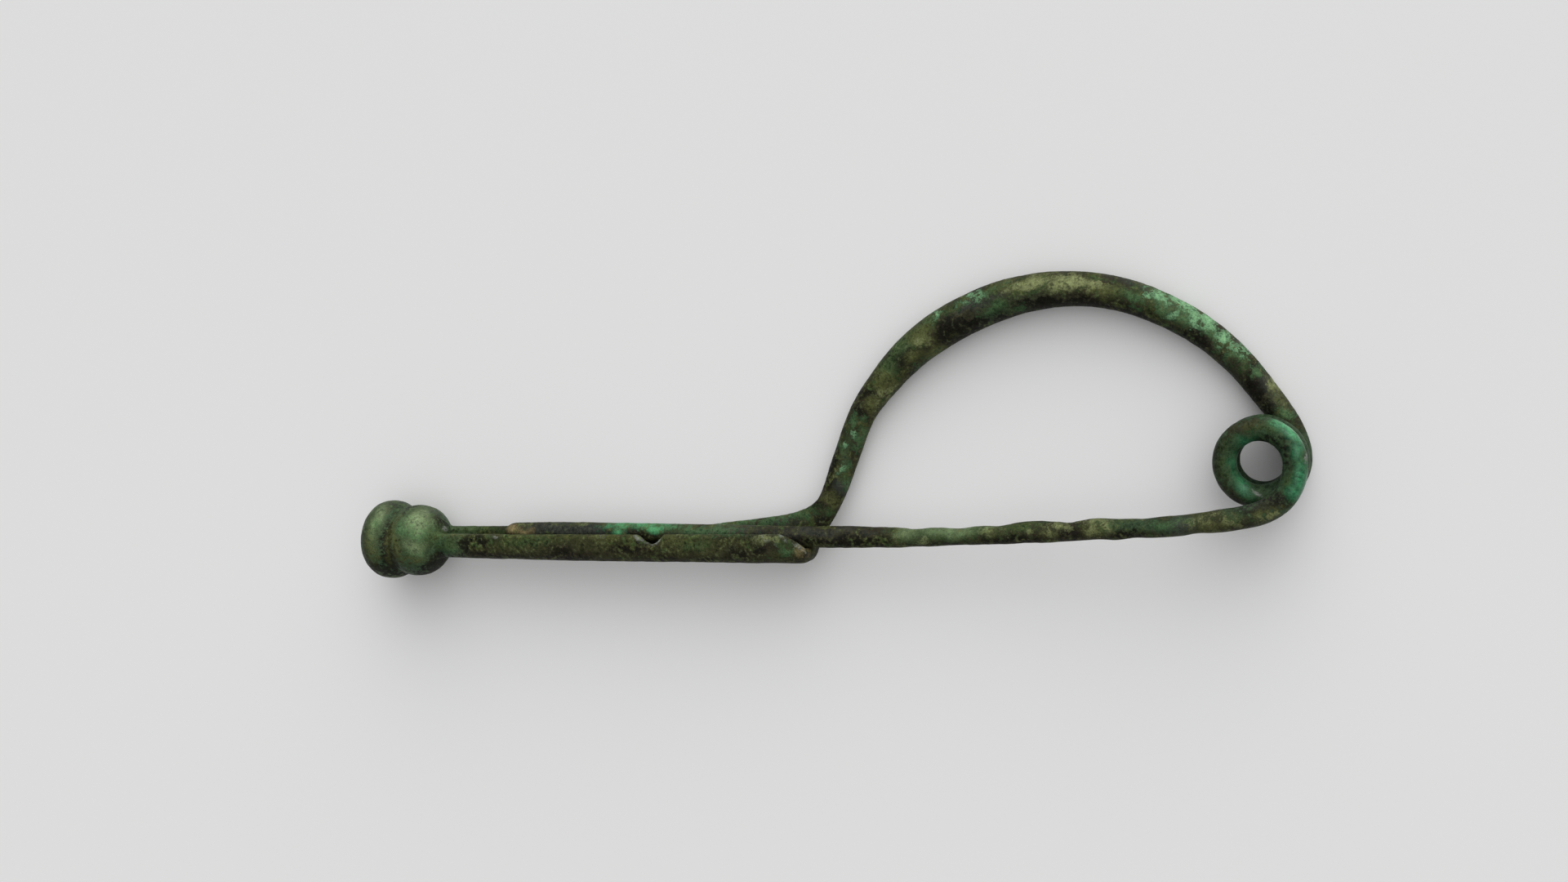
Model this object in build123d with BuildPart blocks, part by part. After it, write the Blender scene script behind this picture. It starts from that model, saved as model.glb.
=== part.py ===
from build123d import *
from math import atan2, degrees, pi
import os

# A bow brooch, the safety pin of its time, made from one piece of bronze. It lies on its back:
# the foot runs along X with the knob at -X, the bow arches towards +Y and the spring is at +X.
# It rests on the knob, the thickest part of the bow and the first turn of the spring.

# Knob, two bulbs in line
outer_bulb_d = 8.9
outer_bulb_half_length = 3.4
inner_bulb_d = 8.1
inner_bulb_half_length = 3.3
bulb_spacing = 3.8
bulb_flattening = 0.35   # a bulb's profile at its widest has a radius this much under its half length
knob_sink = 1.4          # how far the foot runs on inside the inner bulb
knob_axis_up = 2.0       # the knob's axis above the foot's folded edge

# Foot, a strip folded along its outer edge into the catch
foot_length = 45.2       # from the knob to the mouth of the catch
back_wall = 1.2
front_wall = 1.0
fold_wall = 1.0
channel_width = 2.4
back_wall_height = 3.25
front_wall_height = 3.0
fold_outer_radius = 1.1
fold_inner_radius = 0.6
mouth_corner = 1.7       # the catch's lower corner is cut off by this much
mouth_cut = 3.75         # the slanted end of the front wall starts this far before the mouth
mouth_lip = 0.6          # and ends this far before it, and as high above the folded edge

# The broken notch in the front wall's edge
notch_width = 2.6
notch_depth = 1.25
notch_from_mouth = 18.6

# The web, where the back wall rises into the bow's leg
web_reach = 24.0
web_rise = 3.6
web_end = 0.12           # how far before the mouth it meets the leg

# Bow
bow_thick = 3.94
bow_span = 48.9          # from the leg's root to the spring's outermost wire, centre to centre
bow_rise = 23.77         # from the leg's root to the top of the arch, centre to centre
leg_root_back = 1.2      # the leg's root before the mouth of the catch
leg_root_up = 3.08       # and above the foot's folded edge
leg_root_width = 2.5
leg_root_inset = 0.15    # how far the leg's root lies inside each face of the back wall

# Spring
wire_d = 2.44
coil_radius = 3.34
coil_gap = 0.48          # between two turns
coil_turns = 2
coil_up = 9.8            # the spring's axis above the foot's folded edge
coil_lift = 0.18         # the wire sags by this much just before its first turn

# Pin
pin_d = 1.96
pin_root_reach = 8.1     # from the spring's outermost wire back to where the pin is straight
pin_root_up = 4.34       # the pin's centre there, above the foot's folded edge
pin_bend_up = 2.59       # and at its bend
pin_bend_out = 12.6      # the bend's distance from the mouth of the catch
pin_bend_radius = 200.0
tip_up = 2.77
tip_gap = 7.8            # from the knob to the pin's tip
tip_round = 0.6
cut_gap = 0.05           # between the spring's ends and what they run into

# Places along X from the mouth of the catch, which is then set so that the brooch is centred
inner_bulb_x = -foot_length - inner_bulb_half_length
outer_bulb_x = inner_bulb_x - bulb_spacing
left_end = outer_bulb_x - outer_bulb_half_length
right_end = bow_span - leg_root_back + wire_d / 2
mouth_x = -(left_end + right_end) / 2

# Places along Y from the foot's folded edge, set in the same way
low_edge = knob_axis_up - outer_bulb_d / 2
high_edge = leg_root_up + bow_rise + bow_thick / 2
fold_y = -(low_edge + high_edge) / 2

# Heights above the surface
knob_z = outer_bulb_d / 2
bow_z = bow_thick / 2
coil_z = wire_d / 2 + coil_lift
channel_back_z = knob_z - channel_width / 2
channel_front_z = knob_z + channel_width / 2
foot_back_z = channel_back_z - back_wall
foot_front_z = channel_front_z + front_wall

# The rod's centre line between the leg's root and the spring.
# Columns: share of the span, share of the rise, share of the way down to the spring's first turn
bow_route = (
    (0.038, 0.135, -0.6),
    (0.071, 0.299, 0.0),
    (0.144, 0.588, 0.0),
    (0.262, 0.812, 0.0),
    (0.406, 0.954, 0.0),
    (0.557, 1.000, 0.0),
    (0.710, 0.932, 0.4),
    (0.842, 0.766, 0.75),
    (0.948, 0.517, 1.2),
)

# The rod's thickness. Columns: share of the route, share of the swelling from wire to bow
bow_swelling = (
    (0.13, 0.16),
    (0.22, 0.38),
    (0.33, 0.84),
    (0.42, 0.965),
    (0.52, 0.87),
    (0.62, 0.61),
    (0.75, 0.40),
    (0.88, 0.16),
    (1.00, 0.00),
)

# The web's edge. Columns: share of its reach, share of its rise
web_edge = (
    (0.58, 0.20),
    (0.82, 0.35),
    (0.96, 0.69),
)

# The wire's centre line from the spring to the straight pin.
# Columns: share of the reach along X, share of the drop along Y, rise in wire diameters
pin_root_route = (
    (0.073, 0.43, 0.07),
    (0.341, 0.77, 0.11),
    (0.586, 0.89, 0.07),
)
pin_root_sections = 6


def across(path, share):
    """The plane square to a path at a share of its length, its X in the brooch's own plane."""
    along = path % share
    return Plane(origin=path @ share, x_dir=Vector(0, 0, 1).cross(along), z_dir=along)


def at_foot(from_mouth, up, z=0):
    """A point given from the mouth of the catch and the foot's folded edge."""
    return Vector(mouth_x + from_mouth, fold_y + up, z)


# The coil starts and ends on its +X side, where the wire runs towards -Y and slowly up
coil_axis = at_foot(bow_span - leg_root_back - coil_radius, coil_up, coil_z)
coil_start = coil_axis + Vector(coil_radius, 0, 0)
coil_pitch = wire_d + coil_gap
coil_height = coil_turns * coil_pitch
coil_end = coil_start + Vector(0, 0, coil_height)
wire_heading = Vector(0, -2 * pi * coil_radius, coil_pitch).normalized()

# Bow, foot and knob: one piece of metal
leg_root = at_foot(-leg_root_back, leg_root_up, foot_back_z + back_wall / 2)
bow_points = [leg_root]
for along, up, settled in bow_route:
    bow_points.append(Vector(
        leg_root.X + along * bow_span,
        leg_root.Y + up * bow_rise,
        bow_z + settled * (coil_z - bow_z),
    ))
bow_points.append(coil_start - wire_heading * cut_gap)
leg_heading = Vector(0.5, 0.87, 0)
strip_start = -foot_length - knob_sink
web_top = at_foot(-web_end, back_wall_height + web_rise)

with BuildPart() as bow:
    # the round rod, flattened where it passes into the foot
    with BuildLine() as bow_line:
        Spline(*bow_points, tangents=(leg_heading, wire_heading), tangent_scalars=(1, 1))
    rod = bow_line.line
    with BuildSketch(across(rod, 0)):
        Ellipse(leg_root_width / 2, back_wall / 2 - leg_root_inset)
    with BuildSketch(across(rod, 0.06)):
        Ellipse((leg_root_width + wire_d) / 4, (back_wall + wire_d) / 4)
    for share, swelling in bow_swelling:
        with BuildSketch(across(rod, share)):
            Circle((wire_d + swelling * (bow_thick - wire_d)) / 2)
    loft()
    leg = rod @ 0.06

    # the back wall, with the web that rises from it into the leg
    with BuildSketch(Plane.XY.offset(foot_back_z)):
        with BuildLine():
            top = [at_foot(-web_reach, back_wall_height)]
            for reach, rise in web_edge:
                top.append(at_foot(
                    -web_reach + reach * (web_reach - web_end),
                    back_wall_height + rise * web_rise,
                ))
            top.append(web_top)
            Spline(*top, tangents=((1, 0), leg_heading), tangent_scalars=(1, 1))
            Polyline(
                web_top,
                (leg.X, leg.Y),
                at_foot(0, back_wall_height),
                at_foot(0, fold_wall / 2),
                at_foot(strip_start, fold_wall / 2),
                at_foot(strip_start, back_wall_height),
                top[0],
            )
        make_face()
    extrude(amount=back_wall)

    # the fold and the front wall
    strip_end_plane = Plane.YZ.offset(mouth_x + strip_start)
    strip_length = foot_length + knob_sink
    with BuildSketch(strip_end_plane) as fold:
        with Locations((fold_y, foot_back_z)):
            Rectangle(front_wall_height, foot_front_z - foot_back_z, align=(Align.MIN, Align.MIN))
        fillet(fold.vertices().group_by(Axis.Y)[0], fold_outer_radius)
    extrude(amount=strip_length)
    with BuildSketch(strip_end_plane) as channel:
        with Locations((fold_y + fold_wall, channel_back_z)):
            Rectangle(front_wall_height, channel_width, align=(Align.MIN, Align.MIN))
        fillet(channel.vertices().group_by(Axis.Y)[0], fold_inner_radius)
    extrude(amount=strip_length, mode=Mode.SUBTRACT)

    # the front wall's slanted end and the broken notch in its edge
    with BuildSketch(Plane.XY.offset(channel_front_z)):
        with BuildLine():
            Polyline(
                at_foot(-mouth_cut, front_wall_height),
                at_foot(-mouth_lip, mouth_lip),
                at_foot(0, mouth_lip),
                at_foot(0, front_wall_height),
                close=True,
            )
        make_face()
        with BuildLine():
            Polyline(
                at_foot(-notch_from_mouth - notch_width / 2, front_wall_height),
                at_foot(-notch_from_mouth, front_wall_height - notch_depth),
                at_foot(-notch_from_mouth + notch_width / 2, front_wall_height),
                close=True,
            )
        make_face()
    extrude(amount=front_wall, mode=Mode.SUBTRACT)

    # the catch's lower corner, cut off
    with BuildSketch(Plane.XY.offset(foot_back_z)):
        with BuildLine():
            Polyline(
                at_foot(-mouth_corner, 0),
                at_foot(0, 0),
                at_foot(0, mouth_corner),
                close=True,
            )
        make_face()
    extrude(amount=foot_front_z - foot_back_z, mode=Mode.SUBTRACT)

    # the two bulbs, turned about the knob's axis as one profile: in each, a tighter arc at the
    # widest part runs smoothly into flatter ones that cross the axis squarely
    with BuildSketch(Plane.XY.offset(knob_z)):
        for centre_x, half_length, diameter in (
            (outer_bulb_x, outer_bulb_half_length, outer_bulb_d),
            (inner_bulb_x, inner_bulb_half_length, inner_bulb_d),
        ):
            shoulder = half_length - bulb_flattening
            shoulder_up = diameter / 2 - shoulder
            end_centre = (shoulder_up**2 - bulb_flattening**2) / (2 * bulb_flattening)
            end_radius = half_length + end_centre
            end_angle = degrees(atan2(shoulder_up, end_centre))
            with BuildLine():
                pole = at_foot(centre_x - half_length, knob_axis_up)
                near = JernArc(pole, (0, 1), end_radius, -end_angle)
                over = JernArc(near @ 1, near % 1, shoulder, 2 * end_angle - 180)
                far = JernArc(over @ 1, over % 1, end_radius, -end_angle)
                Line(far @ 1, pole)
            make_face()
    revolve(axis=Axis(at_foot(0, knob_axis_up, knob_z), (1, 0, 0)))

# Spring: two turns of wire that carry on from the bow's end
with BuildPart() as spring:
    with BuildLine() as coil_line:
        Helix(coil_pitch, coil_height, coil_radius, center=coil_axis, lefthand=True)
    coil = coil_line.line
    with BuildSketch(Plane(origin=coil @ 0, z_dir=coil % 0)):
        Circle(wire_d / 2)
    sweep(path=coil, is_frenet=True)

# Pin: the same wire, led back to the catch and drawn thinner
pin_start = coil_end + wire_heading * cut_gap
straight_start = at_foot(
    bow_span - leg_root_back - pin_root_reach, pin_root_up, coil_end.Z
)
bend = at_foot(pin_bend_out, pin_bend_up, knob_z)
tip = at_foot(-foot_length + tip_gap, tip_up, knob_z)
root_points = [pin_start]
for reach, drop, rise in pin_root_route:
    root_points.append(Vector(
        pin_start.X + reach * (straight_start.X - pin_start.X),
        pin_start.Y + drop * (straight_start.Y - pin_start.Y),
        pin_start.Z + rise * wire_d,
    ))
root_points.append(straight_start)
pin_heading = (bend - straight_start).normalized()

with BuildPart() as pin:
    # the root, from the spring to the straight shaft
    with BuildLine() as root_line:
        Spline(*root_points, tangents=(wire_heading, pin_heading), tangent_scalars=(1, 1))
    root = root_line.line
    for step in range(pin_root_sections):
        share = step / (pin_root_sections - 1)
        with BuildSketch(across(root, share)):
            Circle((wire_d + share * (pin_d - wire_d)) / 2)
    loft()

    # the shaft, bent slightly before the catch, with a blunt tip
    with BuildLine() as shaft_line:
        FilletPolyline(straight_start, bend, tip, radius=pin_bend_radius)
    shaft = shaft_line.line
    with BuildSketch(across(shaft, 0)):
        Circle(pin_d / 2)
    sweep(path=shaft)
    fillet(pin.edges().sort_by(Axis.X)[0], tip_round)

os.makedirs("parts", exist_ok=True)
bow.part.label = "bow"
export_step(bow.part, "parts/bow.step")
spring.part.label = "spring"
export_step(spring.part, "parts/spring.step")
pin.part.label = "pin"
export_step(pin.part, "parts/pin.step")
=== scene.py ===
from math import atan, pi, radians, tan

import bpy
import numpy as np
from mathutils import Matrix, Vector


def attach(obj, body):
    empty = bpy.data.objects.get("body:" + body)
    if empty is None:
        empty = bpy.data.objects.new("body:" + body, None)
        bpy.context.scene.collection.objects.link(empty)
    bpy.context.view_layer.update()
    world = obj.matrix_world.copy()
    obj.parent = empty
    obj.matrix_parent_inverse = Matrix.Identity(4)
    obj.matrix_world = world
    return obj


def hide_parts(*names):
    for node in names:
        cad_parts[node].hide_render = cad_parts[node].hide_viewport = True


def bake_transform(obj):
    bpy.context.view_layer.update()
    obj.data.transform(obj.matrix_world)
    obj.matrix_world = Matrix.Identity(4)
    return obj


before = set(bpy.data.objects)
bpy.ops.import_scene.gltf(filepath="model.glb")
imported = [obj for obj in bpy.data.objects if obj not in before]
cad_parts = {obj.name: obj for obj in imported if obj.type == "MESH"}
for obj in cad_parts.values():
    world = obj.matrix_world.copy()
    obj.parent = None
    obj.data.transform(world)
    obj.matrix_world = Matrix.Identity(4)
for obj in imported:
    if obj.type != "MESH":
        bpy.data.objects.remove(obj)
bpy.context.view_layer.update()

# Bow, foot and knob
# One piece of bronze. The round rod of the bow swells towards its top and is beaten flat below the
# leg, where the strip is folded up along its lower edge to make the catch for the pin. The knob's
# two bulbs are cast on the foot's end.

# lengths are in millimetres until a mesh is made
MM = 0.001
coil_centre = np.array((47.78, -3.40))
coil_radius = 3.23
coil_low, coil_pitch = 1.40, 2.92


def on_coil(turn):
    """Points on the spring's wire after so many turns: a helix that starts at the coil's right,
    runs clockwise seen from above and rises by one pitch a turn."""
    turn = np.atleast_1d(turn)
    angle = -2 * pi * turn
    return np.stack((
        coil_centre[0] + coil_radius * np.cos(angle),
        coil_centre[1] + coil_radius * np.sin(angle),
        coil_low + coil_pitch * turn,
    ), axis=1)


def smooth_line(rows, step):
    """A smooth line through the rows of a table: a natural cubic spline of every column over the
    length of the straight runs between the rows, read at even steps."""
    rows = np.array(rows, float)
    run = np.linalg.norm(np.diff(rows[:, :3], axis=0), axis=1)
    place = np.concatenate(((0.0,), np.cumsum(run)))
    slope = np.diff(rows, axis=0) / run[:, None]
    inner = np.arange(1, len(rows) - 1)
    system = np.eye(len(rows))
    system[inner, inner - 1] = run[:-1]
    system[inner, inner] = 2 * (run[:-1] + run[1:])
    system[inner, inner + 1] = run[1:]
    bend = np.zeros_like(rows)
    bend[1:-1] = 6 * np.diff(slope, axis=0)
    bend = np.linalg.solve(system, bend)
    at = np.linspace(0, place[-1], int(place[-1] / step) + 1)
    k = np.clip(np.searchsorted(place, at, side="right") - 1, 0, len(run) - 1)
    h, u, v = run[k, None], (at - place[k])[:, None], (place[k + 1] - at)[:, None]
    return (
        (bend[k] * v**3 + bend[k + 1] * u**3) / (6 * h)
        + (rows[k] / h - bend[k] * h / 6) * v
        + (rows[k + 1] / h - bend[k + 1] * h / 6) * u
    )


def rod(line, around=48):
    """A rod along a line whose rows are x, y, z, half width and half thickness: every row carries
    an ellipse square to the line, its width in the brooch's own plane, and both ends close in a
    point. Returns vertices and faces."""
    heading = np.gradient(line[:, :3], axis=0)
    heading /= np.linalg.norm(heading, axis=1)[:, None]
    across = np.cross((0.0, 0.0, 1.0), heading)
    across /= np.linalg.norm(across, axis=1)[:, None]
    upright = np.cross(heading, across)
    angle = np.linspace(0, 2 * pi, around, endpoint=False)
    ring = (
        line[:, None, :3]
        + (line[:, 3, None] * np.cos(angle))[..., None] * across[:, None]
        + (line[:, 4, None] * np.sin(angle))[..., None] * upright[:, None]
    )
    return closed_grid(ring)


def tuck(line, first=False, last=False, rows=9, sink=0.07):
    """A rod's line whose first or last rows are a little thinner, so that its end is hidden in
    its neighbour and the two skins cross without a step."""
    thinner = sink * (1 - np.arange(rows) / rows)[:, None]
    line = line.copy()
    if first:
        line[:rows, 3:] -= thinner
    if last:
        line[-rows:, 3:] -= thinner[::-1]
    return line


def quads_between(rows, around):
    """Faces between neighbouring rings of points, each ring closed on itself."""
    i = np.arange(rows - 1)[:, None] * around
    j = np.arange(around)
    k = (j + 1) % around
    quads = np.stack((i + j, i + k, i + k + around, i + j + around), axis=-1)
    return quads.reshape(-1, 4).tolist()


def closed_grid(ring):
    """A closed skin from rings of points: quads between neighbouring rings, and a fan to the
    middle of the first and of the last ring. Faces point outwards where the rings turn
    anticlockwise seen against the direction in which they follow each other."""
    rows, around = ring.shape[:2]
    points = np.concatenate((ring.reshape(-1, 3), ring[:1].mean(1), ring[-1:].mean(1)))
    j = np.arange(around)
    k = (j + 1) % around
    last = (rows - 1) * around
    first_fan = np.stack((k, j, np.full(around, rows * around)), axis=-1)
    last_fan = np.stack((last + j, last + k, np.full(around, rows * around + 1)), axis=-1)
    return points, quads_between(rows, around) + first_fan.tolist() + last_fan.tolist()


# The rod from the leg to just inside the spring. Columns: x, y, z, half width, half thickness
bow_rows = [
    (2.25, -10.05, 2.65, 1.20, 0.50),
    (3.95, -7.19, 2.35, 1.29, 0.92),
    (5.27, -4.05, 2.03, 1.33, 1.22),
    (6.53, -0.88, 1.92, 1.36, 1.33),
    (8.02, 2.22, 1.94, 1.42, 1.42),
    (10.12, 4.87, 1.98, 1.59, 1.58),
    (12.51, 7.32, 1.98, 1.77, 1.76),
    (15.23, 9.39, 1.97, 1.91, 1.90),
    (18.22, 11.06, 1.96, 1.98, 1.96),
    (21.37, 12.36, 1.97, 1.98, 1.96),
    (24.67, 13.26, 1.99, 1.91, 1.93),
    (28.06, 13.65, 1.99, 1.82, 1.82),
    (31.47, 13.52, 1.93, 1.71, 1.74),
    (34.82, 12.83, 1.82, 1.65, 1.67),
    (37.99, 11.58, 1.71, 1.59, 1.60),
    (40.98, 9.92, 1.62, 1.54, 1.54),
    (43.69, 7.85, 1.53, 1.46, 1.47),
    (46.07, 5.40, 1.43, 1.39, 1.39),
    (48.12, 2.66, 1.32, 1.30, 1.30),
    (50.02, -0.25, 1.28, 1.24, 1.25),
]
# Half the width and half the thickness of the coil's wire
wire_half = (1.13, 1.16)
wire_rows = [(*on_coil(turn)[0], *wire_half) for turn in (0, 0.06, 0.12)]
line_step = 0.2  # between the sections of a rod
bow_line = smooth_line(bow_rows + wire_rows, line_step)
bow_end = int(np.argmin(np.linalg.norm(bow_line[:, :3] - on_coil(0), axis=1)))

# The foot's strip. Heights are along Y and measured from the folded edge at its lowest
fold_y = -13.40
foot_left, foot_right = -43.6, 2.65
back_z, channel_z, front_z = (2.05, 3.25), (3.25, 5.65), (5.65, 6.65)
fold_outer, fold_inner = 1.5, 0.7


def foot_strip(step=0.12, arc=9):
    """The folded strip, as a section carried along X. The section runs down the outside of the
    back wall, round the fold, up the front wall, over its rim, down inside, through the channel
    and up the back wall to its rim. The two rims' heights and the fold's height follow X."""
    x = np.arange(foot_left, foot_right + step / 2, step)
    fold = np.interp(
        x,
        (-43.6, -38, -25, 0.6, 1.8, 2.2, 2.5, 2.65),
        (0.40, 0.22, 0.05, 0.0, 0.02, 0.18, 0.60, 1.00),
    )
    back = np.interp(
        x,
        (-43.6, -12.0, -9.0, -5.0, -3.2, -1.2, 0.1, 1.2, 2.1, 2.7, 3.0, 3.36),
        (3.57, 3.62, 3.90, 4.34, 4.56, 4.84, 5.14, 5.49, 5.93, 6.45, 6.8, 6.8),
    )
    front = np.interp(
        x,
        (-43.6, -18, -16.75, -15.9, -15.1, -14.5, -13.6, -3, -0.5, 0.7, 1.7, 2.3, 2.65),
        (3.14, 3.16, 3.14, 2.45, 2.05, 2.35, 3.18, 3.20, 3.26, 2.80, 2.24, 1.80, 1.55),
    )
    # crust has filled the channel below the notch and in its mouth
    bed = np.interp(x, (-18, -16.8, -13.6, -12.4, -1.8, -0.4), (1.0, 1.95, 1.95, 1.0, 1.0, 1.55))
    turn = np.linspace(0, pi / 2, arc)
    cap = np.linspace(0, pi, arc)
    # round a corner: the distance left to the side ahead, and the distance from the one behind
    falling, rising = 1 - np.sin(turn), 1 - np.cos(turn)
    back_r, front_r = np.ptp(back_z) / 2, np.ptp(front_z) / 2
    # what a run stays under: nothing, or for the front wall's two sides the middle of its rim
    free, rim = np.full(len(x), np.inf), front - front_r
    # each run of the section: which height it hangs on, its offset from it, its Z and its limit
    runs = (
        (fold, fold_outer * falling, back_z[0] + fold_outer * rising, free),
        (fold, fold_outer * rising, front_z[1] - fold_outer * falling, rim),
        (front, front_r * (np.sin(cap) - 1), np.mean(front_z) + front_r * np.cos(cap), free),
        (fold + bed, fold_inner * falling, channel_z[1] - fold_inner * rising, rim),
        (fold + bed, fold_inner * rising, channel_z[0] + fold_inner * falling, free),
        (back, back_r * (np.sin(cap) - 1), np.mean(back_z) + back_r * np.cos(cap), free),
    )
    ys, zs = [], []
    for height, offset, z, limit in runs:
        y = np.minimum(height[:, None] + offset, limit[:, None])
        ys.append(y)
        zs.append(np.broadcast_to(z, y.shape))
    y, z = np.concatenate(ys, axis=1), np.concatenate(zs, axis=1)
    ring = np.stack((np.broadcast_to(x[:, None], y.shape), fold_y + y, z), axis=-1)
    rows, around = y.shape
    ends = [list(range(around))[::-1], list(range((rows - 1) * around, rows * around))]
    return ring.reshape(-1, 3), quads_between(rows, around) + ends


def root_plate(sections=24, arc=7):
    """The back wall's last bit, between the folded strip and the leg: a plate carried along X
    whose lower edge slants up and whose section is a rectangle with round corners."""
    x = np.linspace(0.6, 3.36, sections)
    low = np.interp(x, (0.6, 2.4, 2.75, 3.36), (0.6, 0.9, 1.7, 2.9))
    high = np.interp(x, (0.6, 1.2, 2.1, 2.7, 3.36), (5.3, 5.49, 5.93, 6.45, 6.8))
    corner = np.linspace(0, pi / 2, arc)
    middle, radius = np.mean(back_z), np.ptp(back_z) / 2
    cap_y = np.concatenate((radius * (np.sin(corner) - 1), radius * (np.sin(corner[::-1]) - 1)))
    cap_z = np.concatenate((radius * np.cos(corner), -radius * np.cos(corner[::-1])))
    y = np.concatenate((high[:, None] + cap_y, low[:, None] - cap_y), axis=1)
    z = np.broadcast_to(middle + np.concatenate((cap_z, -cap_z)), y.shape)
    return closed_grid(np.stack((np.broadcast_to(x[:, None], y.shape), fold_y + y, z), axis=-1))


knob_y = -11.185
# The bulbs, outer and inner. Columns: x, z, half length, radius, angle that its bumps start from
bulb_rows = (
    (-48.93, 4.46, 3.15, 4.42, 0.6),
    (-45.24, 4.80, 3.46, 4.02, 2.0),
)


def bulb(x, z, length, radius, lean, fullness=2.2, pole_gap=0.02):
    """A bulb of the knob, turned about an axis along X: a superellipse profile, pole to pole, a
    little fuller than a circle. It is out of round by two waves and by three a turn."""
    along = np.linspace(pole_gap, pi - pole_gap, 60)
    around = np.linspace(0, 2 * pi, 96, endpoint=False)
    power = 2 / fullness
    px = x - length * np.sign(np.cos(along)) * np.abs(np.cos(along)) ** power
    uneven = 1 + 0.012 * np.cos(2 * around + lean) + 0.008 * np.cos(3 * around - lean)
    pr = radius * np.sin(along) ** power
    ring = np.stack((
        np.broadcast_to(px[:, None], (len(along), len(around))),
        knob_y + pr[:, None] * np.cos(around) * uneven,
        z + pr[:, None] * np.sin(around) * uneven,
    ), axis=-1)
    return closed_grid(ring)


def lumps(points, size, seed):
    """Smooth noise between -1 and 1: a random height at each corner of a lattice of the given
    size, blended across the cell with an S-curve. The height is the fraction of a large sine,
    and the seed shifts the lattice."""
    spread, large = (12.9898, 78.233, 37.719), 43758.5453
    cell = points / size + seed * 7.31
    corner = np.floor(cell)
    share = cell - corner
    share = share * share * (3 - 2 * share)
    total = np.zeros(len(points))
    for offset in np.ndindex(2, 2, 2):
        wave = np.sin((corner + offset) @ spread) * large
        total += (wave - np.floor(wave)) * np.prod(np.where(offset, share, 1 - share), axis=1)
    return 2 * total - 1


def linked(name, data):
    """A new object in the scene's collection."""
    piece = bpy.data.objects.new(name, data)
    bpy.context.collection.objects.link(piece)
    return piece


def coordinates(mesh):
    """A mesh's points as rows of x, y, z."""
    co = np.empty(len(mesh.vertices) * 3)
    mesh.vertices.foreach_get("co", co)
    return co.reshape(-1, 3)


def skin(name, points, faces):
    """A mesh object in metres at the origin from points in millimetres."""
    mesh = bpy.data.meshes.new(name)
    mesh.from_pydata((points * MM).tolist(), [], faces)
    mesh.validate()
    mesh.update()
    return linked(name, mesh)


def fuse(parts, cell, rounds):
    """Overlapping closed skins made one: remeshed in cells of one size, then each point is moved
    towards the middle of its neighbours a few times, which rounds the joints as hammering does.
    The knob, left of x = -43, keeps its groove: its points move less. Works in millimetres and
    returns points and faces."""
    points, faces, start = [], [], 0
    for part_points, part_faces in parts:
        points.append(part_points)
        faces += [[start + v for v in face] for face in part_faces]
        start += len(part_points)
    mesh = bpy.data.meshes.new("rough")
    mesh.from_pydata(np.concatenate(points).tolist(), [], faces)
    rough = linked("rough", mesh)
    remesh = rough.modifiers.new("fuse", "REMESH")
    remesh.mode = "VOXEL"
    remesh.voxel_size = cell
    shown = rough.evaluated_get(bpy.context.evaluated_depsgraph_get())
    done = bpy.data.meshes.new_from_object(shown)
    co = coordinates(done)
    edges = np.empty(len(done.edges) * 2, int)
    done.edges.foreach_get("vertices", edges)
    a, b = edges.reshape(-1, 2).T
    count = np.bincount(a, minlength=len(co)) + np.bincount(b, minlength=len(co))
    # the share of the way that a point moves: least on the knob, then growing along the foot
    least, most, growth, start_x = 0.12, 0.5, 0.2, -44.0
    share = np.clip(growth * (co[:, :1] - start_x), least, most)
    for _ in range(rounds):
        total = np.stack([
            np.bincount(a, co[b, axis], len(co)) + np.bincount(b, co[a, axis], len(co))
            for axis in range(3)
        ], axis=1)
        co += share * (total / count[:, None] - co)
    faces = [list(face.vertices) for face in done.polygons]
    bpy.data.objects.remove(rough)
    bpy.data.meshes.remove(mesh)
    bpy.data.meshes.remove(done)
    return co, faces


def age(piece, dents):
    """Moves each point of a piece along its normal by a sum of lumps. Columns of the table:
    size of the lumps, height, seed; all in millimetres."""
    mesh = piece.data
    co = coordinates(mesh) / MM
    normal = np.empty(co.size)
    mesh.vertex_normals.foreach_get("vector", normal)
    rise = sum(height * lumps(co, size, seed) for size, height, seed in dents)
    mesh.vertices.foreach_set("co", ((co + rise[:, None] * normal.reshape(-1, 3)) * MM).ravel())
    mesh.shade_smooth()
    mesh.update()


class Tone:
    """An output of a shader node. Sums, differences and products with other tones or numbers add
    Math nodes; node() adds any other node."""

    def __init__(self, tree, socket=None):
        self.tree, self.socket = tree, socket

    def node(self, kind, inputs=None, output=0, **settings):
        node = self.tree.nodes.new(kind)
        for name, value in settings.items():
            setattr(node, name, value)
        for name, value in (inputs or {}).items():
            if isinstance(value, Tone):
                self.tree.links.new(value.socket, node.inputs[name])
            else:
                node.inputs[name].default_value = value
        return Tone(self.tree, node.outputs[output])

    def math(self, operation, *values):
        return self.node("ShaderNodeMath", dict(enumerate(values)), operation=operation)

    def mix(self, share, first, second):
        return self.node("ShaderNodeMix", {0: share, 6: first, 7: second}, 2, data_type="RGBA")

    def __add__(self, other):
        return self.math("ADD", self, other)

    def __sub__(self, other):
        return self.math("SUBTRACT", self, other)

    def __mul__(self, other):
        return self.math("MULTIPLY", self, other)

    __radd__, __rmul__ = __add__, __mul__


def smooth(tone, low, high):
    """An S-curve from 0 at low to 1 at high."""
    return tone.node(
        "ShaderNodeMapRange", {"Value": tone, "From Min": low, "From Max": high},
        "Result", interpolation_type="SMOOTHSTEP",
    )


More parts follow.
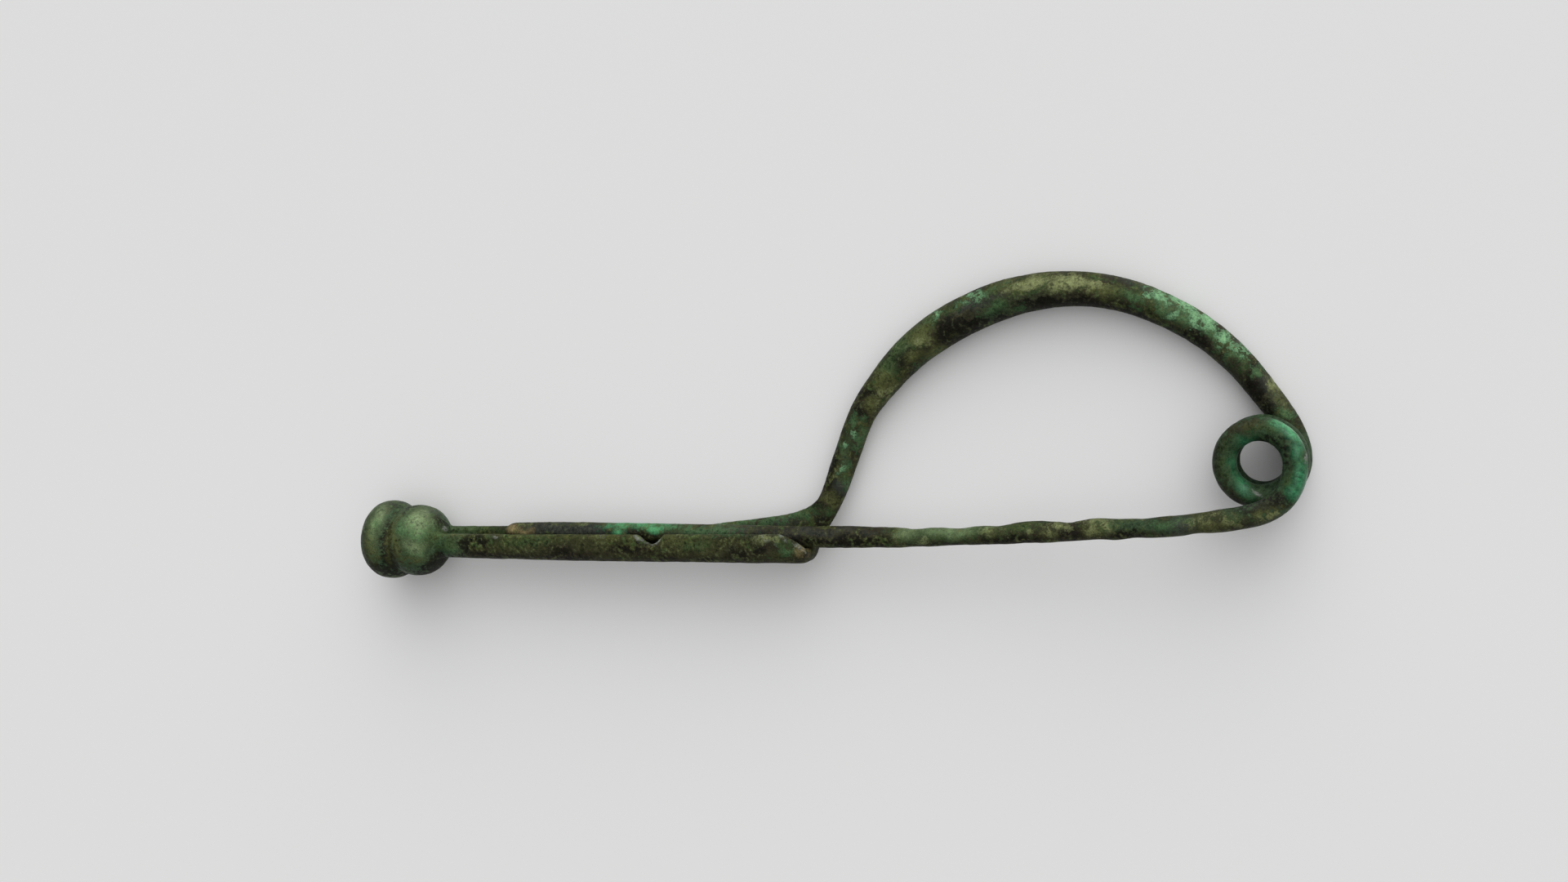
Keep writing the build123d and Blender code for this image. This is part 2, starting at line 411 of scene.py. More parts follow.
# The crusts that grew on the bronze, and painted shade and painted highlights, in the order in
# which they lie on each other. Sheen is painted highlight; dark, deep and umber also paint shade
# in places, and pale, jade, emerald, olive and slate also paint highlights in places.
# Columns: colour, share that covers, how far its edge strays, how soft it is, roughness, height
crusts_and_painted_light = {
    "verdigris": ((0.052, 0.080, 0.037, 1), 0.75, 1.0, 0.5, 0.42, 0.1),
    "deep": ((0.030, 0.060, 0.030, 1), 0.80, 0.8, 0.7, 0.38, 0.0),
    "umber": ((0.028, 0.024, 0.015, 1), 0.80, 1.0, 0.5, 0.46, 0.0),
    "dark": ((0.010, 0.0095, 0.0065, 1), 0.88, 1.0, 0.3, 0.50, -0.3),
    "slate": ((0.046, 0.053, 0.044, 1), 0.65, 0.8, 0.5, 0.38, 0.0),
    "drab": ((0.050, 0.055, 0.021, 1), 0.75, 1.1, 0.4, 0.51, 0.2),
    "moss": ((0.048, 0.082, 0.029, 1), 0.70, 1.1, 0.4, 0.55, 0.2),
    "olive": ((0.090, 0.100, 0.034, 1), 0.75, 1.1, 0.4, 0.52, 0.3),
    "straw": ((0.265, 0.300, 0.132, 1), 0.70, 1.0, 0.4, 0.55, 0.4),
    "green": ((0.070, 0.140, 0.058, 1), 0.78, 1.0, 0.3, 0.50, 0.4),
    # painted highlight: a pale glossy green where light catches the knob's bulbs and the pin's top
    "painted_sheen": ((0.185, 0.245, 0.120, 1), 0.65, 0.9, 0.7, 0.30, 0.1),
    "emerald": ((0.030, 0.185, 0.080, 1), 0.85, 0.6, 0.6, 0.26, 0.1),
    "jade": ((0.100, 0.390, 0.165, 1), 0.80, 0.6, 0.4, 0.30, 0.2),
    "mint": ((0.200, 0.400, 0.205, 1), 0.82, 1.0, 0.25, 0.50, 0.6),
    "ochre": ((0.260, 0.205, 0.095, 1), 0.80, 0.6, 0.3, 0.65, 0.5),
    "pale": ((0.230, 0.250, 0.215, 1), 0.85, 0.3, 0.12, 0.50, 0.2),
}


def lay_marks(piece, marks):
    """Writes for each kind of crust, painted shade and painted highlight how far every point of a
    piece lies outside the nearest of its marks, as an attribute of the mesh: about zero on a
    mark's rim, negative inside, at most 3. A mark is an ellipsoid, and lumps sway the points
    first, which makes the rims wander."""
    sway, sway_size, farthest = 0.45, 1.5, 3.0
    co = coordinates(piece.data) / MM
    co += sway * np.stack([lumps(co, sway_size, seed) for seed in (11, 12, 13)], axis=1)
    for mark_kind in crusts_and_painted_light:
        outside = np.full(len(co), farthest)
        if mark_kind in marks:
            x, y, z, long, wide, turned = np.array(marks[mark_kind], float).T
            dx, dy, dz = co[:, :1] - x, co[:, 1:2] - y, co[:, 2:] - z
            cos, sin = np.cos(np.radians(turned)), np.sin(np.radians(turned))
            along, across = (dx * cos + dy * sin) / long, (dy * cos - dx * sin) / wide
            short = np.minimum(long, wide)
            # upright a mark reaches further than its shorter half, over the curve of the rod
            upright = dz / (1.5 * short + 0.3)
            radii = np.sqrt(along**2 + across**2 + upright**2)
            outside = np.minimum(((radii - 1) * short).min(axis=1), outside)
        layer = piece.data.attributes.new(mark_kind, "FLOAT", "POINT")
        layer.data.foreach_set("value", outside)


def patina():
    """The bronze's skin: dark brown metal clouded with olive, then every crust, painted shade and
    painted highlight that the marks place, its edge made ragged by noise, then specks. Works in
    millimetres."""
    paint = bpy.data.materials.new("patina")
    paint.use_nodes = True
    shader = paint.node_tree.nodes["Principled BSDF"]
    shader.inputs["Specular IOR Level"].default_value = 0.06
    shader.inputs["Coat Roughness"].default_value = 0.22
    tone = Tone(paint.node_tree)
    place = tone.node("ShaderNodeMapping", {
        "Vector": tone.node("ShaderNodeTexCoord", output="Object"), "Scale": (1 / MM,) * 3,
    })

    def grain(size, detail):
        return tone.node("ShaderNodeTexNoise", {
            "Vector": place, "Scale": 1 / size, "Detail": detail, "Roughness": 0.62,
        })

    # four noises, from the largest grain to the finest
    cloud, blotch = grain(2.6, 5.0), grain(1.0, 4.0)
    speck, dust = grain(0.42, 4.0), grain(0.16, 2.0)
    ragged = (blotch - 0.5) * 2.6 + (speck - 0.5) * 2.6
    # brown clouded with olive, then blotches of green and of near black
    brown, olive = (0.022, 0.019, 0.011, 1), (0.050, 0.055, 0.017, 1)
    colour = tone.mix(smooth(cloud, 0.40, 0.62), brown, olive)
    colour = tone.mix(smooth(blotch, 0.50, 0.68) * 0.6, colour, (0.032, 0.062, 0.020, 1))
    colour = tone.mix(smooth(blotch, 0.48, 0.30) * 0.7, colour, (0.010, 0.009, 0.006, 1))
    rough = 0.46 + 0.16 * cloud
    height = 0.8 * blotch + 0.5 * speck + 0.15 * dust
    # each kind of mark in turn: crusts, painted shade and painted highlights
    for mark_kind, (tint, share, fray, soft, gloss, rise) in crusts_and_painted_light.items():
        outside = tone.node("ShaderNodeAttribute", output="Fac", attribute_name=mark_kind)
        cover = share * smooth(outside + fray * ragged, soft, -soft)
        colour = tone.mix(cover, colour, tint)
        rough = tone.node("ShaderNodeMix", {0: cover, 2: rough, 3: gloss}, data_type="FLOAT")
        height = height + rise * cover
    # flecks and pits, which fade out where the skin is smooth
    coarse = smooth(rough, 0.44, 0.54) * smooth(cloud, 0.38, 0.60)
    colour = tone.mix(coarse * smooth(speck, 0.53, 0.68) * 0.34, colour, (0.120, 0.150, 0.070, 1))
    colour = tone.mix(coarse * smooth(speck, 0.46, 0.34) * 0.5, colour, (0.012, 0.011, 0.008, 1))
    # finer lights and darks over everything
    light = tone.node("ShaderNodeMapRange", {
        "Value": speck * 0.55 + blotch * 0.2 + dust * 0.25,
        "From Min": 0.40, "From Max": 0.62, "To Min": 0.42, "To Max": 1.68,
    }, "Result")
    colour = tone.node(
        "ShaderNodeMix", {0: 1.0, 6: colour, 7: light}, 2, data_type="RGBA", blend_type="MULTIPLY",
    )
    relief = tone.node("ShaderNodeBump", {
        "Strength": 0.8, "Distance": 0.12 * MM, "Height": height,
    })
    # a thin gloss where the skin is smoothest
    shine = 0.5 * smooth(rough, 0.40, 0.28)
    for name, value in (
        ("Base Color", colour), ("Roughness", rough), ("Coat Weight", shine), ("Normal", relief),
    ):
        paint.node_tree.links.new(value.socket, shader.inputs[name])
    return paint


bronze = patina()

# Marks by crust, painted shade and painted highlight.
# Columns: x, y, z, half length, half width, turn in degrees about Z
bow_marks = {
    "verdigris": [
        (-46.5, -10.6, 8.1, 6.7, 5.8, 0), (-43.0, -10.7, 7.6, 5.3, 4.6, 0),
        (40.5, 10.9, 3.1, 4.2, 1.2, -35), (6.2, -2.4, 3.1, 0.6, 2.6, -20),
        (24.5, 12.4, 3.7, 4.8, 1.0, 11), (-40.4, -11.0, 6.7, 1.6, 1.4, 0),
        (-6.4, -9.8, 5.1, 6.5, 0.9, 2), (13.4, 8.6, 3.7, 4.2, 0.8, 44),
    ],
    # painted shade: the mark at x -47.0 darkens the knob's groove
    "umber": [
        (-42.6, -8.8, 5.7, 0.8, 0.7, 0), (-48.1, -7.6, 6.8, 0.6, 0.9, 0),
        (-47.0, -11.4, 8.2, 0.7, 2.6, 6), (-49.9, -12.0, 8.0, 0.6, 1.6, 4),
        (18.4, 10.4, 3.8, 4.1, 1.8, 27), (29.2, 12.5, 3.3, 8.7, 1.0, -1),
        (43.8, 7.0, 2.9, 5.4, 1.1, -51), (47.8, 3.0, 2.6, 1.7, 2.2, -62),
        (3.7, -7.2, 3.2, 1.4, 2.1, 57), (-25.1, -12.2, 6.7, 10.8, 1.1, 0),
        (-7.3, -12.0, 6.7, 8.3, 1.0, 0), (8.6, 2.5, 3.4, 1.2, 2.1, 67),
        (-1.0, -9.4, 3.2, 3.7, 0.7, 8),
    ],
    # painted shade: the marks low on the knob, in its groove near x -47.2, along the foot's lower
    # edge near y -13 and along the underside of the bow darken where shade falls
    "dark": [
        (-47.2, -12.1, 8.3, 0.7, 1.1, 0), (-47.2, -13.5, 7.6, 0.8, 0.8, 26),
        (-42.4, -11.0, 6.8, 0.6, 0.9, 0), (-42.8, -14.0, 3.8, 1.1, 0.6, 26),
        (-48.6, -14.7, 7.1, 2.2, 0.5, 1), (-38.3, -11.3, 6.7, 0.8, 0.9, 0),
        (-36.3, -11.1, 6.7, 1.2, 0.8, 0), (-42.4, -9.3, 5.8, 1.2, 0.8, 17),
        (-42.9, -14.0, 5.6, 1.9, 1.1, 35), (-47.25, -10.6, 8.3, 0.4, 3.4, 4),
        (3.0, -7.5, 3.2, 0.7, 1.4, 57), (4.6, -5.7, 3.2, 0.8, 1.1, 57),
        (7.9, 2.0, 3.4, 0.9, 1.1, 56), (9.0, 4.0, 3.5, 0.5, 1.2, 67),
        (12.5, 7.1, 3.7, 0.8, 0.5, 37), (13.8, 8.1, 3.8, 0.7, 0.7, -2),
        (18.3, 10.0, 3.6, 2.0, 1.5, 27), (16.6, 8.5, 3.1, 1.7, 0.4, 30),
        (20.7, 13.7, 3.1, 0.6, 0.2, 22), (20.5, 10.5, 3.3, 2.1, 0.7, 25),
        (29.1, 12.1, 2.9, 6.3, 0.7, -1), (23.2, 10.9, 2.3, 2.5, 0.5, 12),
        (36.8, 10.4, 2.0, 3.8, 0.6, -25), (42.3, 8.3, 3.0, 1.8, 0.9, -41),
        (44.5, 6.8, 2.9, 0.5, 0.5, -2), (40.1, 11.4, 3.0, 0.3, 0.4, -3),
        (41.5, 10.5, 2.9, 0.5, 0.4, -33), (38.6, 12.1, 3.1, 0.5, 0.2, -23),
        (47.1, 4.8, 2.7, 0.8, 1.2, -53), (47.3, 3.2, 2.6, 1.0, 1.5, -62),
        (48.4, 1.5, 2.5, 0.8, 1.2, -62), (-25.8, -13.2, 6.7, 14.6, 0.3, 0),
        (-4.9, -10.5, 6.7, 2.4, 0.5, 0), (-15.7, -11.0, 6.7, 0.9, 0.6, -38),
        (-31.5, -13.0, 6.7, 4.1, 0.4, 1), (-18.0, -11.9, 6.7, 1.4, 0.5, 0),
        (-8.0, -13.2, 6.7, 8.3, 0.3, 1), (-26.1, -12.3, 6.7, 1.6, 0.4, 0),
        (-5.0, -12.0, 6.7, 1.3, 0.7, 0), (4.8, -2.6, 2.9, 0.3, 2.6, -20),
        (3.5, -9.4, 3.1, 0.9, 0.7, 0), (-47.5, -15.3, 4.3, 2.7, 0.5, 1),
        (-48.4, -14.3, 7.6, 1.8, 0.8, -26), (-45.3, -7.4, 5.8, 0.4, 0.6, 0),
        (-11.4, -10.2, 6.7, 1.3, 0.3, 0), (-2.6, -11.6, 6.7, 0.8, 0.7, 0),
        (1.6, -8.1, 3.2, 1.3, 0.4, 20),
    ],
    # painted highlight: the stroke at x 37.4 along the top of the bow's descent
    "slate": [
        (21.2, 12.8, 3.9, 2.6, 0.6, 15), (19.5, 12.2, 3.8, 1.0, 0.5, 32),
        (37.4, 13.1, 2.8, 2.2, 0.3, -25), (45.5, 8.1, 1.5, 1.4, 0.5, -45),
        (48.9, 3.1, 2.3, 0.6, 2.1, 35), (5.4, -5.7, 2.9, 0.7, 0.7, 0),
        (-43.1, -8.0, 5.3, 0.9, 0.6, 53), (-47.7, -7.1, 3.8, 1.6, 0.5, 0),
        (-1.0, -9.4, 3.2, 2.4, 0.4, 8),
    ],
    # painted shade: the marks at x -46.2 and -43.7 low on the knob, those at x -47.6 and -47.2 in
    # its groove and the one at x 40.0 under the bow
    "deep": [
        (-47.6, -7.8, 6.8, 0.8, 1.6, -18), (-47.2, -10.6, 8.3, 0.7, 1.9, 0),
        (-41.3, -11.9, 6.7, 1.3, 2.0, 0), (-42.6, -8.8, 3.5, 0.9, 1.4, -18),
        (-50.3, -12.1, 8.5, 0.7, 1.9, 9), (-46.2, -13.5, 7.5, 3.9, 1.3, 1),
        (-43.7, -14.2, 6.5, 2.6, 1.1, 1), (22.3, 11.4, 3.5, 2.1, 0.7, 22),
        (40.0, 8.8, 1.9, 3.4, 0.4, -35), (45.0, 5.0, 2.4, 1.1, 0.8, -50),
        (-31.1, -9.5, 4.7, 6.1, 0.3, 0), (51.0, -3.2, 1.6, 2.6, 2.6, 0),
    ],
    "moss": [
        (12.6, 8.7, 3.5, 2.5, 0.6, 46), (11.1, 6.7, 3.6, 1.0, 1.3, 37),
        (15.7, 10.9, 3.6, 1.8, 0.7, 36), (18.6, 12.6, 3.5, 1.3, 0.4, 27),
        (35.2, 12.8, 3.4, 1.4, 0.6, -15), (23.2, 12.5, 3.8, 1.1, 0.5, -3),
        (-40.3, -11.3, 6.7, 0.7, 0.7, 0), (-30.2, -11.0, 6.7, 2.7, 0.5, 0),
        (-9.8, -11.0, 6.7, 1.3, 0.5, 0), (0.2, -11.3, 6.7, 1.2, 0.6, -19),
        (1.3, -8.5, 3.2, 1.1, 0.8, 9), (3.8, -8.3, 3.1, 0.7, 0.4, 0),
        (-39.1, -10.2, 3.2, 3.2, 0.5, 0), (-42.2, -10.4, 6.7, 1.5, 1.3, 0),
        (46.0, 5.8, 2.8, 0.6, 0.8, -2),
    ],
    # painted highlight: the three 0.1 wide lines at y -10.3 and -10.4 along the front wall's rim
    "olive": [
        (-49.3, -10.4, 8.6, 0.6, 2.4, 4), (10.7, 4.9, 3.5, 1.3, 1.3, 47),
        (9.2, 2.8, 3.3, 0.8, 0.8, -1), (14.1, 7.5, 3.5, 1.0, 0.7, 27),
        (15.9, 7.9, 3.0, 1.5, 0.7, 32), (14.8, 9.6, 3.8, 1.5, 1.1, 32),
        (4.1, -7.0, 3.2, 0.7, 0.9, 37), (33.3, 13.3, 3.5, 1.7, 0.7, -11),
        (23.2, 14.3, 3.4, 1.3, 0.4, 22), (-45.9, -10.9, 8.2, 0.5, 2.2, 5),
        (-46.8, -9.8, 7.8, 0.4, 2.1, -5), (11.9, 5.2, 3.2, 0.6, 0.4, -2),
        (49.2, 2.8, 2.1, 0.4, 1.1, 30), (-44.1, -12.9, 7.9, 1.3, 0.5, 17),
        (-37.6, -10.3, 6.7, 2.3, 0.1, 0), (-25.8, -10.4, 6.7, 3.0, 0.1, 0),
        (-11.9, -10.4, 6.7, 1.0, 0.1, 0),
    ],
    "drab": [
        (-23.4, -11.5, 6.7, 1.6, 0.8, 0), (-21.0, -11.4, 6.7, 1.0, 0.7, 0),
        (-30.6, -11.9, 6.7, 2.9, 0.7, 0), (-25.9, -11.1, 6.7, 1.4, 0.4, 0),
        (-11.8, -11.5, 6.7, 1.5, 1.0, 0), (-8.0, -11.7, 6.7, 2.4, 0.9, 0),
        (-0.6, -12.5, 6.7, 2.0, 0.4, 1), (-19.5, -12.8, 6.7, 2.0, 0.4, 1),
        (-33.6, -11.5, 6.7, 0.8, 0.7, 0), (-4.9, -11.0, 6.7, 1.1, 0.5, 0),
    ],
    "straw": [
        (26.3, 14.2, 3.7, 2.3, 0.6, 9), (30.3, 14.2, 3.6, 2.5, 0.8, -3),
        (32.7, 14.0, 3.4, 0.8, 0.5, -13), (14.7, 9.1, 3.8, 0.8, 0.5, 32),
        (-1.9, -10.6, 6.7, 0.7, 0.3, 0), (11.0, 3.7, 2.4, 0.9, 0.3, 37),
        (10.1, 3.8, 3.3, 0.4, 0.3, -2), (48.8, 3.7, 1.9, 0.3, 0.5, 29),
    ],
    "green": [
        (-43.9, -9.4, 8.1, 1.9, 1.5, 0), (-48.9, -9.0, 8.4, 0.8, 1.3, -8),
        (-43.5, -12.1, 7.9, 1.1, 0.4, 17), (7.9, -0.4, 2.9, 0.35, 1.2, -15),
        (36.3, 12.3, 3.3, 0.9, 0.5, -23), (39.0, 11.2, 3.2, 0.9, 0.5, -23),
        (40.7, 10.3, 3.1, 0.9, 0.5, -38), (44.6, 8.1, 2.8, 0.5, 0.6, -23),
        (45.2, 6.5, 2.9, 0.7, 0.45, -48), (21.8, 13.8, 3.5, 1.3, 0.3, 19),
        (15.2, 7.2, 2.4, 0.6, 0.2, 37), (50.0, 0.8, 2.3, 0.5, 0.8, 35),
        (47.4, 4.9, 2.5, 0.4, 0.4, -2), (5.7, -1.5, 3.2, 0.3, 0.7, -10),
        (7.1, 0.8, 3.3, 0.4, 0.8, -20), (39.0, 11.9, 3.1, 1.4, 0.45, -31),
        (41.0, 10.6, 3.0, 1.5, 0.45, -39), (43.9, 7.6, 2.9, 0.8, 0.4, -49),
        (43.1, 9.1, 2.9, 0.9, 0.5, -43), (-6.7, -9.6, 3.2, 3.8, 0.3, 3),
        (-2.1, -9.1, 3.2, 2.4, 0.3, 5), (1.9, -9.0, 3.2, 0.3, 0.4, 0),
        (0.7, -11.8, 6.7, 0.7, 0.4, 0), (5.9, -5.0, 2.9, 0.2, 0.7, -10),
        (-39.8, -11.8, 6.7, 0.5, 0.4, 0), (22.4, 11.9, 3.8, 0.8, 0.3, 17),
        (24.8, 11.9, 3.4, 0.7, 0.3, -3), (-5.3, -10.2, 6.7, 0.9, 0.2, 0),
    ],
    "mint": [
        (38.9, 12.5, 2.7, 1.4, 0.35, -31), (40.8, 11.6, 2.4, 1.7, 0.5, -36),
        (42.8, 9.9, 2.6, 1.0, 0.6, -38), (44.5, 8.2, 2.7, 0.5, 0.7, -23),
        (45.6, 7.0, 2.7, 0.7, 0.3, -48), (40.1, 10.8, 3.1, 0.4, 0.2, -3),
        (16.6, 11.8, 3.3, 0.3, 0.4, -3), (20.2, 13.3, 3.4, 0.7, 0.3, 27),
        (6.3, -1.2, 3.3, 0.2, 0.2, 0), (5.4, -3.7, 3.2, 0.15, 0.2, 0),
        (7.2, 0.0, 3.3, 0.3, 0.25, 0), (41.8, 10.1, 3.0, 0.4, 0.5, -3),
        (46.1, 6.9, 2.5, 0.5, 0.2, -57), (37.3, 12.5, 3.2, 0.4, 0.3, -3),
    ],
    # painted highlight on the upper side of the knob's two bulbs
    "painted_sheen": [
        (-48.6, -8.1, 7.6, 0.8, 1.2, -18), (-43.6, -8.6, 7.0, 1.2, 1.5, -9),
        (-49.0, -9.5, 8.5, 0.4, 1.3, 0), (-43.6, -11.4, 8.1, 0.9, 0.7, 0),
    ],
    "ochre": [
        (1.9, -11.9, 5.7, 0.5, 0.4, -39),
    ],
    # painted highlight: the thin lines along the notch's edges, the front wall's rim and its
    # slanted end
    "pale": [
        (-16.1, -10.9, 6.6, 0.8, 0.2, -38), (-15.0, -11.4, 6.6, 0.7, 0.2, 0),
        (-14.1, -10.9, 6.6, 0.6, 0.2, 46), (0.5, -10.6, 6.2, 1.2, 0.08, -35),
        (-34.3, -10.4, 6.7, 0.5, 0.1, 0), (-2.2, -10.3, 6.7, 0.7, 0.08, -44),
        (-20.7, -10.4, 6.7, 0.4, 0.1, 0), (-15.7, -11.0, 6.7, 0.8, 0.1, -38),
        (-42.1, -9.7, 5.0, 0.4, 0.2, 0),
    ],
}

# the bow's skin runs on into the coil's by this many rows
bow_tuck = 7
bow_rod = rod(tuck(bow_line[:bow_end + bow_tuck], last=True))
bow = skin("bow_and_foot", *fuse(
    [bow_rod, foot_strip(), root_plate(), *(bulb(*row) for row in bulb_rows)],
    cell=0.16, rounds=5,
))
# what hammer and corrosion have left. Columns: size of the lumps, height, seed
hammering = ((5.0, 0.03, 1), (2.2, 0.022, 2), (0.9, 0.020, 3), (0.45, 0.014, 4))
age(bow, hammering)
lay_marks(bow, bow_marks)
bow.data.materials.append(bronze)
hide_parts("bow")
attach(bow, "brooch")

# Spring and pin
# The bow's thin end is wound into two close turns and runs on as the pin, all one wire. The pin is
# drawn thinner towards its blunt tip, which lies in the catch. It is uneven where corrosion has
# eaten into it.

# Columns: x, y, z, half width, half thickness
pin_rows = [
    *((*on_coil(turn)[0], *wire_half) for turn in (1.88, 1.94, 2.0)),
    (50.43, -5.74, 7.44, 1.14, 1.16),
    (48.32, -7.66, 7.52, 1.13, 1.15),
    (46.33, -8.28, 7.42, 1.09, 1.12),
    (43.50, -8.74, 7.20, 1.06, 1.04),
    (42.00, -8.90, 7.06, 0.96, 0.98),
    (40.50, -9.13, 6.91, 0.98, 0.99),
    (39.00, -9.27, 6.76, 0.98, 0.99),
    (37.50, -9.41, 6.60, 0.93, 0.97),
    (36.00, -9.46, 6.45, 0.92, 0.97),
    (34.50, -9.58, 6.30, 1.01, 1.01),
    (33.00, -9.55, 6.15, 1.03, 1.02),
    (31.50, -9.67, 6.00, 1.00, 1.00),
    (30.00, -9.88, 5.85, 0.92, 0.97),
    (28.50, -9.92, 5.69, 0.99, 1.00),
    (27.00, -9.95, 5.55, 1.06, 1.04),
    (25.50, -10.00, 5.41, 1.05, 1.03),
    (24.00, -10.18, 5.28, 0.99, 1.00),
    (22.50, -10.35, 5.17, 0.90, 0.96),
    (21.00, -10.36, 5.05, 0.95, 0.98),
    (19.50, -10.47, 4.95, 0.89, 0.95),
    (18.00, -10.55, 4.86, 0.85, 0.93),
    (16.50, -10.56, 4.78, 0.94, 0.97),
    (15.00, -10.64, 4.71, 0.95, 0.98),
    (13.50, -10.70, 4.65, 0.92, 0.97),
    (12.00, -10.70, 4.59, 1.02, 1.02),
    (10.50, -10.68, 4.55, 1.05, 1.03),
    (9.00, -10.70, 4.51, 1.06, 1.04),
    (7.50, -10.67, 4.49, 1.10, 1.06),
    (6.00, -10.67, 4.47, 1.12, 1.06),
    (2.00, -10.68, 4.45, 1.12, 0.98),
    (-4.00, -10.53, 4.45, 1.06, 0.98),
    (-12.00, -10.34, 4.45, 1.00, 0.97),
    (-18.00, -10.25, 4.45, 0.99, 0.96),
    (-22.00, -10.20, 4.45, 0.99, 0.95),
    (-26.00, -10.16, 4.45, 0.99, 0.94),
    (-30.00, -10.15, 4.45, 0.98, 0.93),
    (-32.00, -10.16, 4.45, 0.96, 0.90),
    (-33.20, -10.22, 4.45, 0.86, 0.80),
    (-33.90, -10.32, 4.45, 0.52, 0.48),
]
pin_line = smooth_line(pin_rows, line_step)
pin_start = int(np.argmin(np.linalg.norm(pin_line[:, :3] - on_coil(2), axis=1)))

# the coil's skin runs on into the bow's and the pin's by these rows, and the pin's into the coil's
coil_tuck, pin_tuck = 9, 8
turn = np.arange(0, 2, 0.009)
coil_line = np.concatenate((
    bow_line[bow_end - coil_tuck:bow_end],
    np.column_stack((on_coil(turn), np.tile(wire_half, (len(turn), 1)))),
    pin_line[pin_start:pin_start + coil_tuck],
))
